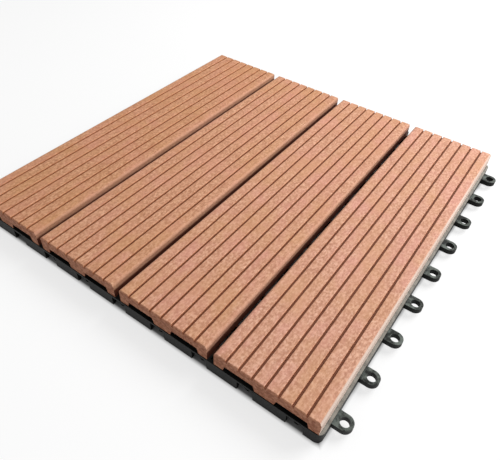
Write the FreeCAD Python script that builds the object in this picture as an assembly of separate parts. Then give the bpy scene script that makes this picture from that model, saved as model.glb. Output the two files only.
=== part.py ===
import FreeCAD, Part
import math
import os

# Interlocking deck tile: four ribbed wood-plastic slats screwed to one moulded plastic base.
# Millimetres. X runs across the slats, Y along them, Z up.
# The origin is the centre of the tile on the plane that the feet stand on.

# Tile and slats
MODULE = 300.0  # distance from one tile to the next when they are joined
SLAT_COUNT = 4
SLAT_GAP = 5.0
SIDE_GAP = 5.0  # between the outer slats of two joined tiles
END_GAP = 2.0  # between the slat ends of two joined tiles
SLAT_H = 11.5

# Slat section: ribs and grooves on top, three legs and two channels below
RIB_COUNT = 8
GROOVE_W = 1.5
GROOVE_FLOOR_W = 1.1
GROOVE_D = 2.0
RIB_EDGE = 0.35  # edge taken off each rib along its grooves
SLAT_EDGE_R = 2.0
PLATE_T = 7.0
SIDE_LEG_W = 6.5
MID_LEG_W = 13.0
LEG_DRAFT = 1.2
END_CHAMFER = 0.6

# Moulded base: rim, lattice and feet
BASE_GAP = 1.0  # between the bases of two joined tiles
BASE_CORNER_R = 4.0
RIM_T = 2.2
CELLS = 10  # lattice cells along each side, an even number
RIB_T = 1.8
CROSS_RIB_H = 5.5  # depth of the shallow ribs that lie between the deep ones
FOOT_H = 1.5
FOOT_W = 8.0

# Interlock: loops on the two far sides, pegs in notches on the two near sides
LOOPS_PER_SIDE = 9
LOOP_REACH = 5.7  # from the face of the rim to the middle of the hole
LOOP_R = 5.1
LOOP_HOLE_R = 3.0
LOOP_T = 4.0
LOOP_Z = 3.4  # underside of a loop above the ground
PEG_CLEAR = 0.7  # between a peg and the loop it holds
PEG_BELOW_LOOP = 2.6
NOTCH_CLEAR = 0.5  # around a loop in its notch, and over it
NOTCH_WALL = 1.6
NOTCH_ROOF_T = 1.6

# Fixing screws, driven up through the base into the middle leg of a slat
SCREW_R = 1.75
SCREW_TIP = 2.5
SCREW_COVER = 1.5  # slat left between a screw's point and the groove above it
HEAD_R = 3.5
HEAD_T = 2.2
RECESS_SPAN = 3.8  # cross recess in the head
RECESS_W = 0.9
RECESS_DEPTH = 1.3
SCREW_HOLE_CLEAR = 0.3
PILOT_CLEAR = 0.05
PILOT_EXTRA = 0.5
HEAD_CLEAR = 0.8
BOSS_WALL = 1.4
BOSS_ROOF_T = 3.0
SCREW_ROWS = (-4, 4)  # lattice lines, counted from the middle, that carry the bosses

# Worked out from the sizes above
SLAT_PITCH = (MODULE - SIDE_GAP + SLAT_GAP) / SLAT_COUNT
SLAT_W = SLAT_PITCH - SLAT_GAP
SLAT_LEN = MODULE - END_GAP
LOOP_PITCH = MODULE / LOOPS_PER_SIDE
BASE_HALF = (MODULE - BASE_GAP) / 2.0
LOOP_AXIS = BASE_HALF + LOOP_REACH
PEG_AXIS = LOOP_AXIS - MODULE
PEG_R = LOOP_HOLE_R - PEG_CLEAR
PEG_TIP_Z = LOOP_Z - PEG_BELOW_LOOP
CELL_PITCH = 2.0 * BASE_HALF / CELLS
NOTCH_HALF = LOOP_R + NOTCH_CLEAR
NOTCH_ROOF_Z = LOOP_Z + LOOP_T + NOTCH_CLEAR
BASE_H = NOTCH_ROOF_Z + NOTCH_ROOF_T
SEAT_Z = BASE_H - BOSS_ROOF_T
POCKET_HALF = HEAD_R + HEAD_CLEAR
BOSS_HALF = POCKET_HALF + BOSS_WALL
NOTCH_BACK = PEG_AXIS + NOTCH_HALF + NOTCH_WALL
SCREW_TIP_Z = BASE_H + SLAT_H - GROOVE_D - SCREW_COVER

UP = FreeCAD.Vector(0, 0, 1)


def point(x, y, z):
    return FreeCAD.Vector(x, y, z)


def box(x0, x1, y0, y1, z0, z1):
    return Part.makeBox(x1 - x0, y1 - y0, z1 - z0, point(x0, y0, z0))


def block(x, y, half, low, high):
    """Upright square block around an axis."""
    return box(x - half, x + half, y - half, y + half, low, high)


def cylinder(x, y, z0, z1, radius):
    return Part.makeCylinder(radius, z1 - z0, point(x, y, z0), UP)


def rounded_face(corners):
    """Closed face through corners of (point, radius): a radius above zero rounds that corner."""
    edges = []
    ends = []
    count = len(corners)
    for i in range(count):
        before = corners[i - 1][0]
        here, radius = corners[i]
        after = corners[(i + 1) % count][0]
        if radius <= 0:
            ends.append((here, here, None))
            continue
        to_before = (before - here).normalize()
        to_after = (after - here).normalize()
        half = to_before.getAngle(to_after) / 2.0
        cut = radius / math.tan(half)
        middle = (to_before + to_after).normalize()
        bulge = here + middle * (radius / math.sin(half) - radius)
        ends.append((here + to_before * cut, here + to_after * cut, bulge))
    for i in range(count):
        start, end, bulge = ends[i]
        if bulge is not None:
            edges.append(Part.Arc(start, bulge, end).toShape())
        following = ends[(i + 1) % count][0]
        if (following - end).Length > 1e-6:
            edges.append(Part.LineSegment(end, following).toShape())
    return Part.Face(Part.Wire(edges))


def loop_places():
    """Places of the loops, and of the pegs, along one side."""
    first = -LOOP_PITCH * (LOOPS_PER_SIDE - 1) / 2.0
    return [first + LOOP_PITCH * i for i in range(LOOPS_PER_SIDE)]


def slat_middles():
    first = -SLAT_PITCH * (SLAT_COUNT - 1) / 2.0
    return [first + SLAT_PITCH * i for i in range(SLAT_COUNT)]


def lattice_line(number):
    """Place of a lattice line, in X or in Y, counted from the middle of the base."""
    return CELL_PITCH * number


def screw_rows():
    return [lattice_line(row) for row in SCREW_ROWS]


def on_next_side(shape):
    """The same feature on the next side of the square: X and Y change places."""
    return shape.mirror(point(0, 0, 0), point(1, -1, 0))


# Slats
def slat_section():
    """Section of a slat in the XZ plane at one end, legs on z = 0."""
    half = SLAT_W / 2.0
    rib_pitch = SLAT_W / RIB_COUNT
    web_z = SLAT_H - PLATE_T
    corners = [(-half, 0.0, 0.0), (-half, SLAT_H, SLAT_EDGE_R)]
    for k in range(1, RIB_COUNT):
        middle = -half + rib_pitch * k
        corners.append((middle - GROOVE_W / 2.0 - RIB_EDGE, SLAT_H, 0.0))
        corners.append((middle - GROOVE_W / 2.0, SLAT_H - RIB_EDGE, 0.0))
        corners.append((middle - GROOVE_FLOOR_W / 2.0, SLAT_H - GROOVE_D, 0.0))
        corners.append((middle + GROOVE_FLOOR_W / 2.0, SLAT_H - GROOVE_D, 0.0))
        corners.append((middle + GROOVE_W / 2.0, SLAT_H - RIB_EDGE, 0.0))
        corners.append((middle + GROOVE_W / 2.0 + RIB_EDGE, SLAT_H, 0.0))
    corners.append((half, SLAT_H, SLAT_EDGE_R))
    corners.append((half, 0.0, 0.0))
    corners.append((half - SIDE_LEG_W, 0.0, 0.0))
    corners.append((half - SIDE_LEG_W - LEG_DRAFT, web_z, 0.0))
    corners.append((MID_LEG_W / 2.0 + LEG_DRAFT, web_z, 0.0))
    corners.append((MID_LEG_W / 2.0, 0.0, 0.0))
    corners.append((-MID_LEG_W / 2.0, 0.0, 0.0))
    corners.append((-MID_LEG_W / 2.0 - LEG_DRAFT, web_z, 0.0))
    corners.append((-half + SIDE_LEG_W + LEG_DRAFT, web_z, 0.0))
    corners.append((-half + SIDE_LEG_W, 0.0, 0.0))
    return rounded_face([(point(x, 0, z), radius) for x, z, radius in corners])


def end_chamfer_cutter(side):
    """Wedge that takes the top edge off a slat's end; side is -1 or 1."""
    end_y = side * SLAT_LEN / 2.0
    reach = SLAT_W / 2.0 + 1.0
    corners = [
        point(-reach, end_y, SLAT_H - END_CHAMFER),
        point(-reach, end_y - side * END_CHAMFER, SLAT_H),
        point(-reach, end_y - side * END_CHAMFER, SLAT_H + 1.0),
        point(-reach, end_y + side * 1.0, SLAT_H + 1.0),
        point(-reach, end_y + side * 1.0, SLAT_H - END_CHAMFER),
    ]
    wedge = Part.Face(Part.makePolygon(corners + [corners[0]]))
    return wedge.extrude(point(2.0 * reach, 0, 0))


def slat(middle_x):
    section = slat_section()
    section.translate(point(0, -SLAT_LEN / 2.0, 0))
    body = section.extrude(point(0, SLAT_LEN, 0))
    cutters = [end_chamfer_cutter(-1), end_chamfer_cutter(1)]
    pilot_r = SCREW_R + PILOT_CLEAR
    pilot_top = SCREW_TIP_Z + PILOT_EXTRA - BASE_H
    for row in screw_rows():
        cutters.append(cylinder(0, row, -1.0, pilot_top, pilot_r))
    body = body.cut(cutters)
    body.translate(point(middle_x, 0, BASE_H))
    return body


# Moulded base
def square_block(inset, corner_r, low, high):
    """Upright block with the base's square outline, taken in by inset, and rounded corners."""
    square = block(0, 0, BASE_HALF - inset, low, high)
    corners = [e for e in square.Edges if abs(e.tangentAt(e.FirstParameter).z) > 0.99]
    return square.makeFillet(corner_r, corners)


def rim():
    outer = square_block(0.0, BASE_CORNER_R, 0.0, BASE_H)
    inner = square_block(RIM_T, BASE_CORNER_R / 2.0, -1.0, BASE_H + 1.0)
    return outer.cut(inner)


def lattice():
    """Ribs both ways: every second line is deep, the lines between are shallow."""
    end = BASE_HALF - RIM_T / 2.0
    lines = CELLS // 2
    ribs = []
    for line in range(1 - lines, lines):
        low_side = lattice_line(line) - RIB_T / 2.0
        high_side = low_side + RIB_T
        bottom = FOOT_H if line % 2 == 0 else BASE_H - CROSS_RIB_H
        rib = box(low_side, high_side, -end, end, bottom, BASE_H)
        ribs += [rib, on_next_side(rib)]
    return ribs


def feet():
    """Square feet where deep ribs cross, apart from the places where a boss stands."""
    shapes = []
    lines = CELLS // 2
    deep = [lattice_line(line) for line in range(1 - lines, lines) if line % 2 == 0]
    half = FOOT_W / 2.0
    for x in deep:
        beside_boss = min(abs(x - middle) for middle in slat_middles()) < half + BOSS_HALF
        for y in deep:
            if beside_boss and y in screw_rows():
                continue
            shapes.append(block(x, y, half, 0.0, FOOT_H))
    return shapes


def boss(x, y):
    """Square screw boss, which stands on the ground as a foot."""
    return block(x, y, BOSS_HALF, 0.0, BASE_H)


def boss_cutters(x, y):
    pocket = block(x, y, POCKET_HALF, -1.0, SEAT_Z)
    hole = cylinder(x, y, 0.0, BASE_H + 1.0, SCREW_R + SCREW_HOLE_CLEAR)
    return [pocket, hole]


def loop(y):
    """Loop on the +X side: a tab as wide as its ring, with the hole near the outer end."""
    root = BASE_HALF - RIM_T / 2.0
    tab = box(root, LOOP_AXIS, y - LOOP_R, y + LOOP_R, LOOP_Z, LOOP_Z + LOOP_T)
    ring = cylinder(LOOP_AXIS, y, LOOP_Z, LOOP_Z + LOOP_T, LOOP_R)
    hole = cylinder(LOOP_AXIS, y, LOOP_Z - 1.0, LOOP_Z + LOOP_T + 1.0, LOOP_HOLE_R)
    return tab.fuse(ring).cut(hole)


def notch_walls(y):
    """Block that the notch is cut from, on the -X side."""
    side = NOTCH_HALF + NOTCH_WALL
    return box(-BASE_HALF, NOTCH_BACK, y - side, y + side, FOOT_H, BASE_H)


def notch_hollow(y):
    """Room for a loop of the next tile: open below and towards -X."""
    outside = PEG_AXIS - 2.0 * NOTCH_HALF
    back = PEG_AXIS + NOTCH_HALF
    return box(outside, back, y - NOTCH_HALF, y + NOTCH_HALF, -1.0, NOTCH_ROOF_Z)


def corner_web():
    """Fills the corner between the first notches of the two near sides."""
    inner = RIM_T - BASE_HALF
    return box(inner, NOTCH_BACK, inner, NOTCH_BACK, FOOT_H, BASE_H)


def peg(y):
    return cylinder(PEG_AXIS, y, PEG_TIP_Z, NOTCH_ROOF_Z, PEG_R)


def base_grid():
    solids = lattice() + feet() + [corner_web()]
    cutters = []
    pegs = []
    for x in slat_middles():
        for y in screw_rows():
            solids.append(boss(x, y))
            cutters += boss_cutters(x, y)
    for y in loop_places():
        for shape in (loop(y), notch_walls(y)):
            solids += [shape, on_next_side(shape)]
        cutters += [notch_hollow(y), on_next_side(notch_hollow(y))]
        pegs += [peg(y), on_next_side(peg(y))]
    body = rim().fuse(solids)
    body = body.cut(cutters)
    body = body.fuse(pegs)
    return body.removeSplitter()


# Fixing screws
def cross_recess():
    """Two crossed slots, open at the underside of the head."""
    low = SEAT_Z - HEAD_T - 1.0
    high = SEAT_Z - HEAD_T + RECESS_DEPTH
    slot = box(-RECESS_SPAN / 2.0, RECESS_SPAN / 2.0, -RECESS_W / 2.0, RECESS_W / 2.0, low, high)
    return [slot, on_next_side(slot)]


def screw(x, y):
    """Head below with its recess, plain shank and point above."""
    outline = [
        point(0, 0, SEAT_Z - HEAD_T),
        point(HEAD_R, 0, SEAT_Z - HEAD_T),
        point(HEAD_R, 0, SEAT_Z),
        point(SCREW_R, 0, SEAT_Z),
        point(SCREW_R, 0, SCREW_TIP_Z - SCREW_TIP),
        point(0, 0, SCREW_TIP_Z),
    ]
    face = Part.Face(Part.makePolygon(outline + [outline[0]]))
    body = face.revolve(point(0, 0, 0), UP, 360).cut(cross_recess())
    body.translate(point(x, y, 0))
    return body


def fixing_screws():
    screws = []
    for x in slat_middles():
        for y in screw_rows():
            screws.append(screw(x, y))
    return Part.makeCompound(screws)


def main():
    os.makedirs("parts", exist_ok=True)
    base_grid().exportStep("parts/base_grid.step")
    for number, middle_x in enumerate(slat_middles(), start=1):
        slat(middle_x).exportStep("parts/slat_" + str(number) + ".step")
    fixing_screws().exportStep("parts/fixing_screws.step")


main()
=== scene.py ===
import math
import bpy
from mathutils import Matrix, Vector

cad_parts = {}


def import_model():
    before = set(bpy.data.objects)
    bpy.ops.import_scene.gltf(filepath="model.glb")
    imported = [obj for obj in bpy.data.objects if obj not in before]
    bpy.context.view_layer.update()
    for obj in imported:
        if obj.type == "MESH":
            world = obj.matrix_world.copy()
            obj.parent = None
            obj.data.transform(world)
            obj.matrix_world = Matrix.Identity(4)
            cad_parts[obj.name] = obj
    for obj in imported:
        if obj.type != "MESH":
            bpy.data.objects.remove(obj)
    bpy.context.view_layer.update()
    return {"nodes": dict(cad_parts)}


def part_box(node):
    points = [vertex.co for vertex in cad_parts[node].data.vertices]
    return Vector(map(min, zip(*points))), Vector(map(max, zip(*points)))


# Interlocking deck tile: looks, floor, lamps and camera. Metres, with +Y along the slats and +Z up.

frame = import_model()

# Places read from the frame
SLATS = ["slat_1", "slat_2", "slat_3", "slat_4"]
TOP_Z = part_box("slat_1")[1].z
BASE_TOP_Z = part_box("base_grid")[1].z
TILE_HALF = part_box(SLATS[-1])[1].x  # the outer flanks of the outer slats stand this far from the middle
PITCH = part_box(SLATS[1])[0].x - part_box(SLATS[0])[0].x  # one slat to the next; the middle gap is at x = 0

# Slat finishes: depths are below the top
BRUSHED_DEPTH = 0.0002  # the brushed finish reaches down to here
SHADE_START = 0.0004  # painted shade on the groove skin begins here
SHADE_END = 0.0016  # to here
GAP_SHADE_START = 0.0038  # painted shade low on the inner flanks in the gaps begins here
GAP_SHADE_END = 0.0055  # and is full here
EDGE_REACH = 0.006  # the rounded edges are brushed this far from the middle of a gap
EDGE_FADE = 0.001  # and the finish fades over this width
FLANK_DEPTH = 0.001  # an outer flank is what lies this close to the outermost x
FLANK_FADE = 0.0005  # and its painted light fades over this width
LEFT_SHADE_TONE = (0.93, 0.88, 0.73, 1.0)  # painted shade: the slats go from this darker tone on the left
RIGHT_LIT_TONE = (1.0, 1.0, 1.0, 1.0)  # to this one on the right, where the light is strongest

# Base finishes
LEDGE_FADE = 0.0005  # painted light starts at the outer flank of the slats, give or take this much
RIM_DEPTH = 0.001  # the rim's top is what lies this close to the base's highest point
RIM_FADE = 0.0005  # and its painted light fades over this height
BROWN_INSET = 0.002  # the reddish brown begins this far inside the outer edges of the slats
BROWN_FADE = 0.002  # and is full this much further in
BROWN_START = 0.001  # it is full down to this depth below the base's highest point
BROWN_END = 0.004  # and gone at this one

# Floor and world
FLOOR_HALF = 6.0
FLOOR_MARGIN = 0.001  # where it is seen, the floor turns pale from this far outside the slats
FLOOR_FADE = 0.003  # over this width
FLOOR_WHITE = 0.7  # share of plain white in the floor that the camera sees beside the tile
WORLD_LIGHT = 0.46
WHITE = (1.0, 1.0, 1.0, 1.0)

# Camera, fitted to the photograph's view
AIM = Vector((0.0364, -0.0557, 0.021))
DISTANCE = 0.3535
AZIMUTH = 33.0
ELEVATION = 44.3
ROLL = 3.4
LENS = 36.1
SENSOR = 36.0
NEAR_CLIP = 0.01


def linear(red, green, blue):
    """Colour written as 0 to 255 display values, as linear values with alpha."""
    values = []
    for part in (red, green, blue):
        share = part / 255.0
        values.append(share / 12.92 if share <= 0.04045 else ((share + 0.055) / 1.055) ** 2.4)
    return (*values, 1.0)


# Node helpers
class Shader:
    """A material with one Principled shader, and short calls that add nodes to it."""

    def __init__(self, name):
        self.material = bpy.data.materials.new(name)
        self.material.use_nodes = True
        self.nodes = self.material.node_tree.nodes
        self.links = self.material.node_tree.links
        self.surface = self.nodes["Principled BSDF"]
        self.place = self.nodes.new("ShaderNodeTexCoord").outputs["Object"]

    def join(self, source, target):
        self.links.new(source, target)

    def noise(self, scale, detail, roughness, stretch=(1.0, 1.0, 1.0), shift=0.0):
        """Noise in the object's own space; stretch scales the space along each axis."""
        mapping = self.nodes.new("ShaderNodeMapping")
        mapping.inputs["Scale"].default_value = stretch
        mapping.inputs["Location"].default_value = (shift, shift * 0.7, shift * 1.3)
        self.join(self.place, mapping.inputs["Vector"])
        noise = self.nodes.new("ShaderNodeTexNoise")
        noise.inputs["Scale"].default_value = scale
        noise.inputs["Detail"].default_value = detail
        noise.inputs["Roughness"].default_value = roughness
        self.join(mapping.outputs["Vector"], noise.inputs["Vector"])
        return noise.outputs["Fac"]

    def limits(self, value, low, high, to_low=0.0, to_high=1.0):
        """Maps value from low..high to to_low..to_high, and stops at both ends."""
        node = self.nodes.new("ShaderNodeMapRange")
        node.inputs["From Min"].default_value = low
        node.inputs["From Max"].default_value = high
        node.inputs["To Min"].default_value = to_low
        node.inputs["To Max"].default_value = to_high
        self.join(value, node.inputs["Value"])
        return node.outputs["Result"]

    def mix(self, share, first, second, blend="MIX"):
        """Mixes two colours, each a fixed colour or the output of a node."""
        node = self.nodes.new("ShaderNodeMix")
        node.data_type = "RGBA"
        node.blend_type = blend
        if isinstance(share, (int, float)):
            node.inputs["Factor"].default_value = share
        else:
            self.join(share, node.inputs["Factor"])
        for name, colour in (("A", first), ("B", second)):
            socket = [s for s in node.inputs if s.name == name and s.type == "RGBA"][0]
            if isinstance(colour, tuple):
                socket.default_value = colour
            else:
                self.join(colour, socket)
        return [s for s in node.outputs if s.type == "RGBA"][0]

    def math(self, kind, first, second):
        node = self.nodes.new("ShaderNodeMath")
        node.operation = kind
        for socket, value in zip(node.inputs, (first, second)):
            if isinstance(value, (int, float)):
                socket.default_value = value
            else:
                self.join(value, socket)
        return node.outputs["Value"]

    def unsigned(self, value):
        return self.math("ABSOLUTE", value, 0.0)

    def both(self, first, second):
        """Share where two conditions hold together."""
        return self.math("MULTIPLY", first, second)

    def split(self, vector):
        node = self.nodes.new("ShaderNodeSeparateXYZ")
        self.join(vector, node.inputs["Vector"])
        return node.outputs

    def facing(self):
        """The surface's direction as X, Y and Z. No piece turns, so these are its own axes too."""
        geometry = self.nodes.new("ShaderNodeNewGeometry")
        return self.split(geometry.outputs["Normal"])

    def from_middle(self, place):
        """Distance from the middle of the tile along X or Y, whichever is larger."""
        return self.math("MAXIMUM", self.unsigned(place["X"]), self.unsigned(place["Y"]))

    def bump(self, height, distance, strength, below=None):
        node = self.nodes.new("ShaderNodeBump")
        node.inputs["Distance"].default_value = distance
        node.inputs["Strength"].default_value = strength
        self.join(height, node.inputs["Height"])
        if below is not None:
            self.join(below, node.inputs["Normal"])
        return node.outputs["Normal"]

    def finish(self, colour, roughness, specular, normal):
        """Joins the finished colour, roughness and relief to the surface."""
        self.join(colour, self.surface.inputs["Base Color"])
        self.join(roughness, self.surface.inputs["Roughness"])
        self.surface.inputs["Specular IOR Level"].default_value = specular
        self.join(normal, self.surface.inputs["Normal"])
        return self.material


def brushed_ribs(shader, fibre, speck, streak):
    """Colour of the rib tops: fibre grain under specks, brushing marks, streaks and faint patches."""
    brushing = shader.noise(1.0, 3.0, 0.7, stretch=(640.0, 430.0, 640.0), shift=11.0)
    blotch = shader.noise(58.0, 4.0, 0.6, stretch=(1.0, 0.6, 1.0), shift=5.0)
    warmth = shader.noise(34.0, 4.0, 0.6, shift=8.0)
    # Each layer: a noise, the noise's values where the layer begins and is full, its full share, its colour
    layers = (
        (speck, 0.54, 0.72, 0.55, linear(246, 206, 182)),  # pale specks
        (speck, 0.46, 0.3, 0.45, linear(152, 98, 74)),  # dark specks
        (brushing, 0.5, 0.63, 0.62, linear(238, 188, 160)),  # pale brushing marks
        (brushing, 0.5, 0.37, 0.62, linear(172, 116, 90)),  # dark brushing marks
        (streak, 0.35, 0.68, 0.28, linear(198, 140, 114)),  # long streaks
        (blotch, 0.45, 0.66, 0.42, linear(218, 152, 140)),  # pink patches
        (warmth, 0.46, 0.66, 0.42, linear(204, 152, 108)),  # tan patches
    )
    colour = shader.mix(shader.limits(fibre, 0.36, 0.66), linear(185, 129, 100), linear(223, 170, 142))
    for source, begins, full, share, tint in layers:
        colour = shader.mix(shader.limits(source, begins, full, 0.0, share), colour, tint)
    return colour


def composite_material():
    """Wood-plastic composite: brushed ribs; groove skin, darker deeper down as painted shade; painted shade
    low in the gaps and from slat to slat; painted sheen on the gap edges; outer flanks painted pale as
    painted light; and sawn ends.
    """
    shader = Shader("slat_composite")
    fibre = shader.noise(1.0, 4.0, 0.65, stretch=(1300.0, 260.0, 1300.0))
    speck = shader.noise(560.0, 2.0, 0.6, shift=3.0)
    streak = shader.noise(1.0, 3.0, 0.6, stretch=(240.0, 14.0, 240.0), shift=1.0)
    place = shader.split(shader.place)
    sides = shader.facing()
    sideways = shader.unsigned(sides["X"])

    # Rib tops and rounded edges are brushed, groove walls keep their skin
    ribs = brushed_ribs(shader, fibre, speck, streak)
    skin = shader.mix(shader.limits(fibre, 0.35, 0.65), linear(186, 120, 86), linear(212, 146, 108))
    # Painted shade: the groove skin, already a darker colour of its own, darkens further deeper down
    shade = shader.limits(place["Z"], TOP_Z - SHADE_START, TOP_Z - SHADE_END, 0.0, 0.74)
    skin = shader.mix(shade, skin, linear(104, 52, 31))
    brushed = shader.limits(place["Z"], TOP_Z - 2.0 * BRUSHED_DEPTH, TOP_Z - BRUSHED_DEPTH)
    from_gap = shader.math("PINGPONG", place["X"], PITCH / 2.0)
    beside_gap = shader.limits(from_gap, EDGE_REACH, EDGE_REACH + EDGE_FADE, 1.0, 0.0)
    colour = shader.mix(shader.math("MAXIMUM", brushed, beside_gap), skin, ribs)

    # Painted shade from slat to slat: darker towards the left, where less light falls
    slat_number = shader.math("FLOOR", shader.math("DIVIDE", place["X"], PITCH), 0.0)
    across = shader.limits(slat_number, -len(SLATS) / 2.0, len(SLATS) / 2.0 - 1.0)
    colour = shader.mix(1.0, colour, shader.mix(across, LEFT_SHADE_TONE, RIGHT_LIT_TONE), "MULTIPLY")

    # Painted sheen on the rounded edges beside the gaps, and painted shade low on the inner flanks in the
    # gaps
    edge_sheen = shader.both(shader.limits(sideways, 0.15, 0.6, 0.0, 0.55), beside_gap)
    colour = shader.mix(edge_sheen, colour, linear(182, 136, 112))
    outmost = TILE_HALF - FLANK_DEPTH
    outer = shader.limits(shader.unsigned(place["X"]), outmost - FLANK_FADE, outmost)
    inner = shader.both(shader.limits(sideways, 0.5, 0.8), shader.math("SUBTRACT", 1.0, outer))
    depth = shader.limits(place["Z"], TOP_Z - GAP_SHADE_START, TOP_Z - GAP_SHADE_END)
    # Painted shade: the inner flanks turn dark brown deeper in the gaps
    colour = shader.mix(shader.both(inner, depth), colour, linear(88, 40, 22))

    # Outer flanks painted pale cream as painted light, unlike the flanks in the gaps; and sawn ends
    flank = shader.mix(shader.limits(streak, 0.3, 0.7), linear(200, 173, 157), linear(216, 196, 183))
    colour = shader.mix(shader.both(shader.limits(sideways, 0.2, 0.5), outer), colour, flank)
    sawn = shader.mix(shader.limits(speck, 0.4, 0.62), linear(176, 112, 84), linear(220, 156, 124))
    colour = shader.mix(shader.limits(shader.unsigned(sides["Y"]), 0.6, 0.9), colour, sawn)

    grain = shader.bump(fibre, distance=0.00025, strength=0.5)
    relief = shader.bump(streak, distance=0.0003, strength=0.35, below=grain)
    return shader.finish(colour, shader.limits(fibre, 0.3, 0.7, 0.62, 0.82), 0.35, relief)


def base_material():
    """Dark plastic with a fine moulding grain: reddish brown high up under the slats, and painted light in
    patches on what faces up beside them.
    """
    shader = Shader("base_plastic")
    grain = shader.noise(1500.0, 2.0, 0.5)
    flow = shader.noise(26.0, 3.0, 0.6, stretch=(1.0, 1.0, 0.3), shift=2.0)
    patchiness = shader.noise(190.0, 4.0, 0.7, shift=7.0)
    place = shader.split(shader.place)
    colour = shader.mix(shader.limits(flow, 0.35, 0.65), linear(13, 14, 13), linear(23, 24, 22))

    # Painted light: what faces up beside the slats is painted lighter grey in patches, on the loops and more
    # of it on the rim
    reach = shader.math("MAXIMUM", place["X"], place["Y"])
    bare = shader.limits(reach, TILE_HALF - LEDGE_FADE, TILE_HALF + LEDGE_FADE)
    up_beside = shader.both(shader.limits(shader.facing()["Z"], 0.4, 0.95), bare)
    lit_tops = shader.both(up_beside, shader.limits(patchiness, 0.42, 0.6, 0.05, 0.75))
    colour = shader.mix(lit_tops, colour, linear(116, 124, 118))
    rim_z = BASE_TOP_Z - RIM_DEPTH
    up_on_rim = shader.both(up_beside, shader.limits(place["Z"], rim_z - RIM_FADE, rim_z))
    lit_rim = shader.both(up_on_rim, shader.limits(patchiness, 0.3, 0.6, 0.45, 0.85))
    colour = shader.mix(lit_rim, colour, linear(150, 146, 138))

    # Reddish brown in patches high up on the base under the slats
    brown_edge = TILE_HALF - BROWN_INSET
    inside = shader.limits(shader.from_middle(place), brown_edge - BROWN_FADE, brown_edge, 1.0, 0.0)
    high = shader.limits(place["Z"], BASE_TOP_Z - BROWN_END, BASE_TOP_Z - BROWN_START)
    brown_under_slats = shader.both(shader.both(inside, high), shader.limits(patchiness, 0.3, 0.6, 0.3, 0.7))
    colour = shader.mix(brown_under_slats, colour, linear(72, 36, 20))

    relief = shader.bump(grain, distance=0.0001, strength=0.35)
    return shader.finish(colour, shader.limits(grain, 0.3, 0.7, 0.46, 0.62), 0.14, relief)


def screw_material():
    """Zinc-plated steel, faintly mottled."""
    shader = Shader("screw_steel")
    mottle = shader.noise(900.0, 3.0, 0.6)
    colour = shader.mix(shader.limits(mottle, 0.35, 0.65), linear(176, 176, 172), linear(205, 204, 198))
    shader.join(colour, shader.surface.inputs["Base Color"])
    shader.join(shader.limits(mottle, 0.3, 0.7, 0.26, 0.44), shader.surface.inputs["Roughness"])
    shader.surface.inputs["Metallic"].default_value = 1.0
    return shader.material


def dress(node, material):
    obj = frame["nodes"][node]
    obj.data.materials.clear()
    obj.data.materials.append(material)


def floor():
    """Plain floor that keeps the shadow: near white to the camera beside the tile, mid grey under the tile as
    painted shade, and mid grey as a light.
    """
    mesh = bpy.data.meshes.new("floor")
    corners = [(x * FLOOR_HALF, y * FLOOR_HALF, 0.0) for x, y in ((-1, -1), (1, -1), (1, 1), (-1, 1))]
    mesh.from_pydata(corners, [], [(0, 1, 2, 3)])
    obj = bpy.data.objects.new("floor", mesh)
    bpy.context.scene.collection.objects.link(obj)

    shader = Shader("floor")
    pale_from = TILE_HALF + FLOOR_MARGIN
    distance = shader.from_middle(shader.split(shader.place))
    beside = shader.limits(distance, pale_from, pale_from + FLOOR_FADE)
    path = shader.nodes.new("ShaderNodeLightPath").outputs
    seen = shader.math("MAXIMUM", path["Is Camera Ray"], path["Is Glossy Ray"])
    seen = shader.math("MAXIMUM", seen, path["Is Transmission Ray"])
    pale = shader.both(seen, beside)
    # Painted shade: under the tile the camera sees the floor mid grey, not white
    colour = shader.mix(pale, linear(140, 140, 140), linear(254, 254, 254))
    shader.join(colour, shader.surface.inputs["Base Color"])
    shader.surface.inputs["Roughness"].default_value = 0.9
    shader.surface.inputs["Specular IOR Level"].default_value = 0.0

    white = shader.nodes.new("ShaderNodeEmission")
    white.inputs["Color"].default_value = WHITE
    white.inputs["Strength"].default_value = 1.0
    mixer = shader.nodes.new("ShaderNodeMixShader")
    shader.join(shader.math("MULTIPLY", pale, FLOOR_WHITE), mixer.inputs["Fac"])
    shader.join(shader.surface.outputs["BSDF"], mixer.inputs[1])
    shader.join(white.outputs["Emission"], mixer.inputs[2])
    shader.join(mixer.outputs["Shader"], shader.nodes["Material Output"].inputs["Surface"])
    mesh.materials.append(shader.material)


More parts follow.
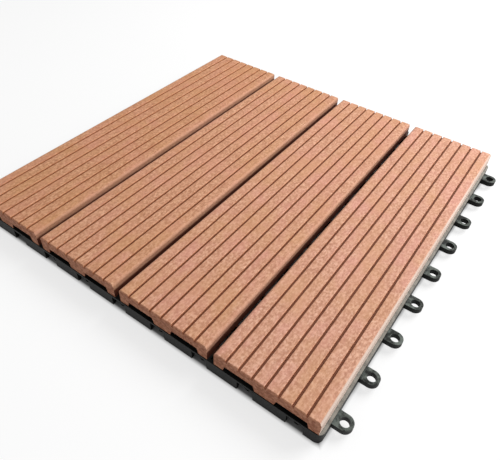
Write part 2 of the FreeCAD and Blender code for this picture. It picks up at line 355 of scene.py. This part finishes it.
def world():
    """Soft light from all round, behind a plain white backdrop."""
    studio = bpy.data.worlds.new("studio")
    studio.use_nodes = True
    nodes = studio.node_tree.nodes
    links = studio.node_tree.links
    light = nodes["Background"]
    light.inputs["Color"].default_value = WHITE
    light.inputs["Strength"].default_value = WORLD_LIGHT
    backdrop = nodes.new("ShaderNodeBackground")
    backdrop.inputs["Color"].default_value = WHITE
    backdrop.inputs["Strength"].default_value = 1.0
    path = nodes.new("ShaderNodeLightPath").outputs
    seen = nodes.new("ShaderNodeMath")
    seen.operation = "MAXIMUM"
    links.new(path["Is Camera Ray"], seen.inputs[0])
    links.new(path["Is Transmission Ray"], seen.inputs[1])
    mixer = nodes.new("ShaderNodeMixShader")
    links.new(seen.outputs["Value"], mixer.inputs["Fac"])
    links.new(light.outputs["Background"], mixer.inputs[1])
    links.new(backdrop.outputs["Background"], mixer.inputs[2])
    links.new(mixer.outputs["Shader"], nodes["World Output"].inputs["Surface"])
    bpy.context.scene.world = studio


def lamp(name, place, size, power):
    """A round lamp that shines on the middle of the tile."""
    data = bpy.data.lights.new(name, "AREA")
    data.shape = "DISK"
    data.size = size
    data.energy = power
    obj = bpy.data.objects.new(name, data)
    obj.location = place
    obj.rotation_euler = (-Vector(place)).to_track_quat("-Z", "Y").to_euler()
    bpy.context.scene.collection.objects.link(obj)


def camera():
    azimuth, elevation, roll = (math.radians(a) for a in (AZIMUTH, ELEVATION, ROLL))
    back = Vector((
        math.sin(azimuth) * math.cos(elevation),
        -math.cos(azimuth) * math.cos(elevation),
        math.sin(elevation),
    ))
    level = (-back).cross(Vector((0.0, 0.0, 1.0))).normalized()
    upright = level.cross(-back)
    right = level * math.cos(roll) + upright * math.sin(roll)
    up = upright * math.cos(roll) - level * math.sin(roll)
    data = bpy.data.cameras.new("camera")
    data.sensor_width = SENSOR
    data.lens = LENS
    data.clip_start = NEAR_CLIP
    obj = bpy.data.objects.new("camera", data)
    turn = Matrix((right, up, back)).transposed().to_4x4()
    obj.matrix_world = Matrix.Translation(AIM + back * DISTANCE) @ turn
    bpy.context.scene.collection.objects.link(obj)
    bpy.context.scene.camera = obj


composite = composite_material()
for slat in SLATS:
    dress(slat, composite)
dress("base_grid", base_material())
dress("fixing_screws", screw_material())

floor()
world()
lamp("key", place=(0.44, 0.62, 0.66), size=0.7, power=10.3)
lamp("side", place=(1.2, -0.1, 0.2), size=0.3, power=3.0)
camera()

bpy.context.scene.view_settings.view_transform = "Standard"
